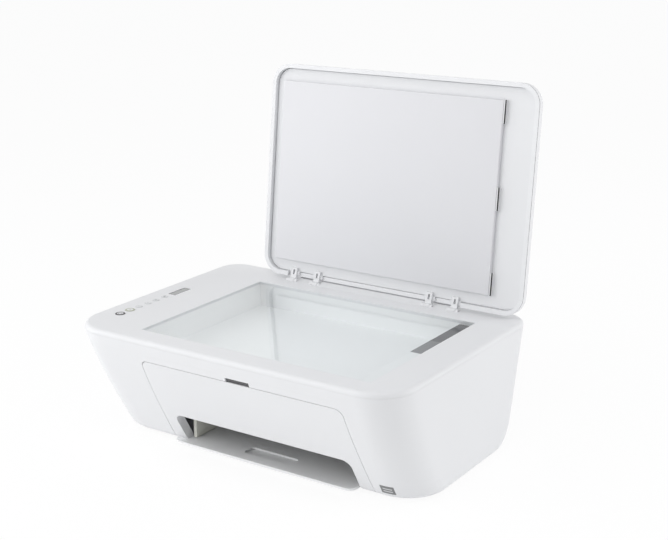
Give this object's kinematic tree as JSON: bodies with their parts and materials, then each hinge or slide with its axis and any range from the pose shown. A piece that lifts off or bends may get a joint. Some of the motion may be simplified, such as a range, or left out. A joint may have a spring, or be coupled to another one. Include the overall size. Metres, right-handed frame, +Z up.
{
  "type": "inkjet printer with flatbed scanner",
  "caption": "White compact all-in-one inkjet printer with its scanner lid raised, a drop-down front door, an output tray and a side control panel.",
  "frame": {"origin": "middle of the overall box at the table surface", "axes": "+X to the printer's right, +Y to its back, +Z up"},
  "size_m": [0.425, 0.3126, 0.4034],
  "materials": {
    "casing_white": "fine matte white",
    "frame_white": "satin white",
    "lid_white": "satin white",
    "panel_white": "matte off-white",
    "tray_white": "matte white",
    "pad_foam": "soft white foam sheet",
    "dark_trim": "matte dark grey",
    "label_grey": "plain grey",
    "black_plastic": "matte black",
    "inner_grey": "grey",
    "cream_plastic": "cream",
    "scan_glass": "clear flat glass",
    "lcd_grey": "grey display",
    "button_white": "matte light grey",
    "button_green": "matte pale green grey",
    "steel": "bright steel",
    "sheet_steel": "zinc plated sheet",
    "rubber": "matte black",
    "roller_rubber": "ground grey rubber",
    "gear_white": "natural acetal",
    "belt_black": "toothed belt, plain",
    "board_green": "circuit board"
  },
  "bodies": {
    "base": {"main_casing": "casing_white", "rear_cover": "casing_white", "top_frame": "frame_white", "base_pan": "casing_white", "rubber_feet": "rubber", "case_screws": "steel", "rating_plate": "label_grey", "door_latch": "dark_trim", "hinge_pins": "steel", "output_tray": "tray_white", "scan_glass": "scan_glass", "scanner_tub": "inner_grey", "guide_rods": "steel", "control_board": "board_green", "lcd_display": "lcd_grey", "print_chassis": "sheet_steel", "feed_motor": "sheet_steel", "timing_belt": "belt_black", "carriage_motor": "sheet_steel", "platen": "cream_plastic", "service_station": "cream_plastic", "station_seals": "rubber", "paper_chute": "inner_grey", "power_supply": "black_plastic", "power_inlet": "black_plastic", "main_board": "board_green", "usb_port": "sheet_steel"},
    "lid": {"lid_shell": "lid_white", "lid_inner_panel": "panel_white", "backing_pad": "pad_foam", "pad_clips": "dark_trim", "lid_hinge_arms": "panel_white"},
    "front_door": {"access_door": "casing_white"},
    "extender": {"tray_extender": "tray_white"},
    "input_flap": {"input_tray": "tray_white"},
    "paper_guide": {"paper_width_guide": "tray_white"},
    "carriage": {"print_carriage": "black_plastic", "black_cartridge": "dark_trim", "colour_cartridge": "inner_grey"},
    "latch_black": {"black_latch": "inner_grey"},
    "latch_colour": {"colour_latch": "inner_grey"},
    "drive_pulley": {"carriage_pulley": "gear_white"},
    "tension_pulley": {"idler_pulley": "gear_white"},
    "scan_carriage": {"scan_bar": "black_plastic", "scan_bar_cover": "tray_white"},
    "feed_roller": {"feed_shaft": "steel", "feed_rollers": "roller_rubber", "feed_gear": "gear_white"},
    "train_idler": {"idler_gear": "gear_white"},
    "exit_roller": {"exit_shaft": "steel", "exit_rollers": "roller_rubber", "exit_gear": "gear_white"},
    "feed_pinion": {"motor_pinion": "gear_white"},
    "pinch": {"pinch_rollers": "black_plastic"},
    "key_power": {"power_button": "button_white"},
    "key_cancel": {"cancel_button": "button_green"},
    "key_wireless": {"wireless_button": "button_white"},
    "key_info": {"info_button": "button_white"},
    "key_copy_black": {"copy_black_button": "button_white"},
    "key_copy_colour": {"copy_colour_button": "button_white"}
  },
  "joints": [
    {"name": "lid_hinge", "type": "hinge", "parent": "base", "child": "lid", "pos_m": [0, 0.11281, 0.1421], "axis": [1, 0, 0], "range_deg": [0, 96.7]},
    {"name": "door_hinge", "type": "hinge", "parent": "base", "child": "front_door", "pos_m": [0, -0.08529, 0.014], "axis": [1, 0, 0], "range_deg": [0, 34]},
    {"name": "extender_slide", "type": "slide", "parent": "base", "child": "extender", "axis": [0, -1, 0], "range_m": [0, 0.078]},
    {"name": "input_flap_hinge", "type": "hinge", "parent": "base", "child": "input_flap", "pos_m": [0, 0.14308, 0.131], "axis": [1, 0, 0], "range_deg": [0, 155]},
    {"name": "paper_guide_slide", "type": "slide", "parent": "base", "child": "paper_guide", "axis": [-1, 0, 0], "range_m": [0, 0.06]},
    {"name": "carriage_slide", "type": "slide", "parent": "base", "child": "carriage", "axis": [-1, 0, 0], "range_m": [0, 0.225]},
    {"name": "latch_black_hinge", "type": "hinge", "parent": "carriage", "child": "latch_black", "pos_m": [0.1115, 0.02271, 0.096], "axis": [-1, 0, 0], "range_deg": [0, 15]},
    {"name": "latch_colour_hinge", "type": "hinge", "parent": "carriage", "child": "latch_colour", "pos_m": [0.1485, 0.02271, 0.096], "axis": [-1, 0, 0], "range_deg": [0, 15]},
    {"name": "drive_pulley_turn", "type": "hinge", "parent": "base", "child": "drive_pulley", "pos_m": [0.18, 0.06021, 0.093], "axis": [0, -1, 0], "continuous": true},
    {"name": "tension_pulley_turn", "type": "hinge", "parent": "base", "child": "tension_pulley", "pos_m": [-0.165, 0.06021, 0.093], "axis": [0, -1, 0], "continuous": true},
    {"name": "scan_slide", "type": "slide", "parent": "base", "child": "scan_carriage", "axis": [-1, 0, 0], "range_m": [0, 0.275]},
    {"name": "feed_turn", "type": "hinge", "parent": "base", "child": "feed_roller", "pos_m": [0, 0.04971, 0.038], "axis": [1, 0, 0], "continuous": true},
    {"name": "idler_turn", "type": "hinge", "parent": "base", "child": "train_idler", "pos_m": [-0.196, 0.00597, 0.03324], "axis": [1, 0, 0], "continuous": true},
    {"name": "exit_turn", "type": "hinge", "parent": "base", "child": "exit_roller", "pos_m": [0, -0.02386, 0.03], "axis": [1, 0, 0], "continuous": true},
    {"name": "pinion_turn", "type": "hinge", "parent": "base", "child": "feed_pinion", "pos_m": [-0.196, 0.0541, 0.07071], "axis": [1, 0, 0], "continuous": true},
    {"name": "pinch_turn", "type": "hinge", "parent": "base", "child": "pinch", "pos_m": [0, 0.04378, 0.0543], "axis": [1, 0, 0], "continuous": true},
    {"name": "power_button_press", "type": "slide", "parent": "base", "child": "key_power", "axis": [0, 0, -1], "range_m": [0, 0.0006], "stiffness_N_per_m": 250},
    {"name": "cancel_button_press", "type": "slide", "parent": "base", "child": "key_cancel", "axis": [0, 0, -1], "range_m": [0, 0.0006], "stiffness_N_per_m": 250},
    {"name": "wireless_button_press", "type": "slide", "parent": "base", "child": "key_wireless", "axis": [0, 0, -1], "range_m": [0, 0.0006], "stiffness_N_per_m": 250},
    {"name": "info_button_press", "type": "slide", "parent": "base", "child": "key_info", "axis": [0, 0, -1], "range_m": [0, 0.0006], "stiffness_N_per_m": 250},
    {"name": "copy_black_button_press", "type": "slide", "parent": "base", "child": "key_copy_black", "axis": [0, 0, -1], "range_m": [0, 0.0006], "stiffness_N_per_m": 250},
    {"name": "copy_colour_button_press", "type": "slide", "parent": "base", "child": "key_copy_colour", "axis": [0, 0, -1], "range_m": [0, 0.0006], "stiffness_N_per_m": 250}
  ],
  "couplings": [
    {"joint": "drive_pulley_turn", "follows": "carriage_slide", "rad_per_m": 112.36},
    {"joint": "tension_pulley_turn", "follows": "carriage_slide", "rad_per_m": 112.36},
    {"joint": "idler_turn", "follows": "feed_turn", "ratio": -1.4444},
    {"joint": "exit_turn", "follows": "feed_turn", "ratio": 2.1667},
    {"joint": "pinion_turn", "follows": "feed_turn", "ratio": -3.7143},
    {"joint": "pinch_turn", "follows": "feed_turn", "ratio": -1.8333}
  ]
}
